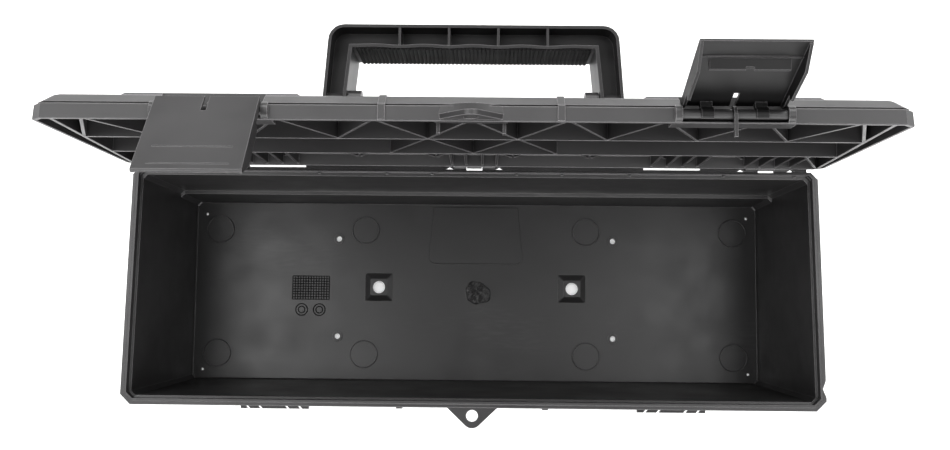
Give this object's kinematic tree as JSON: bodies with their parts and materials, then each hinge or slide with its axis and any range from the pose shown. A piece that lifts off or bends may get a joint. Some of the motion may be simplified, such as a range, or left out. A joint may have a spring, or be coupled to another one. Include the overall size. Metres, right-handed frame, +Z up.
{
  "type": "toolbox",
  "caption": "Long moulded plastic toolbox with a hinged ribbed lid, front toggle latches, padlock tabs and a folding channel handle, shown with its lid open.",
  "frame": {"origin": "middle of the box's flat underside", "axes": "+X along the box to its right end, -Y to the front with the latches, +Z up"},
  "size_m": [0.489, 0.2547, 0.3626],
  "materials": {
    "box_plastic": "charcoal polypropylene, lightly grained outside and smoother inside",
    "lid_plastic": "charcoal polypropylene, lightly grained",
    "handle_plastic": "charcoal polypropylene, satin",
    "latch_plastic": "charcoal polypropylene, satin",
    "pin_steel": "drawn steel wire"
  },
  "bodies": {
    "box": {"box": "box_plastic", "hinge_pin_left": "pin_steel", "hinge_pin_centre": "pin_steel", "hinge_pin_right": "pin_steel"},
    "lid": {"lid": "lid_plastic", "latch_rod_left": "lid_plastic", "latch_rod_right": "lid_plastic", "handle_pin_left": "handle_plastic", "handle_pin_right": "handle_plastic"},
    "handle": {"handle": "handle_plastic"},
    "latch_left": {"latch_left": "latch_plastic"},
    "latch_right": {"latch_right": "latch_plastic"}
  },
  "joints": [
    {"name": "lid_hinge", "type": "hinge", "parent": "box", "child": "lid", "pos_m": [0, 0.0853, 0.1458], "axis": [1, 0, 0], "range_deg": [0, 90]},
    {"name": "handle_fold", "type": "hinge", "parent": "lid", "child": "handle", "pos_m": [0, 0.1108, 0.2397], "axis": [1, 0, 0], "range_deg": [0, 90]},
    {"name": "latch_left_turn", "type": "hinge", "parent": "lid", "child": "latch_left", "pos_m": [-0.1438, 0.09, 0.3114], "axis": [-1, 0, 0], "range_deg": [-39, 111]},
    {"name": "latch_right_turn", "type": "hinge", "parent": "lid", "child": "latch_right", "pos_m": [0.1438, 0.09, 0.3114], "axis": [-1, 0, 0], "range_deg": [-111, 39]}
  ]
}
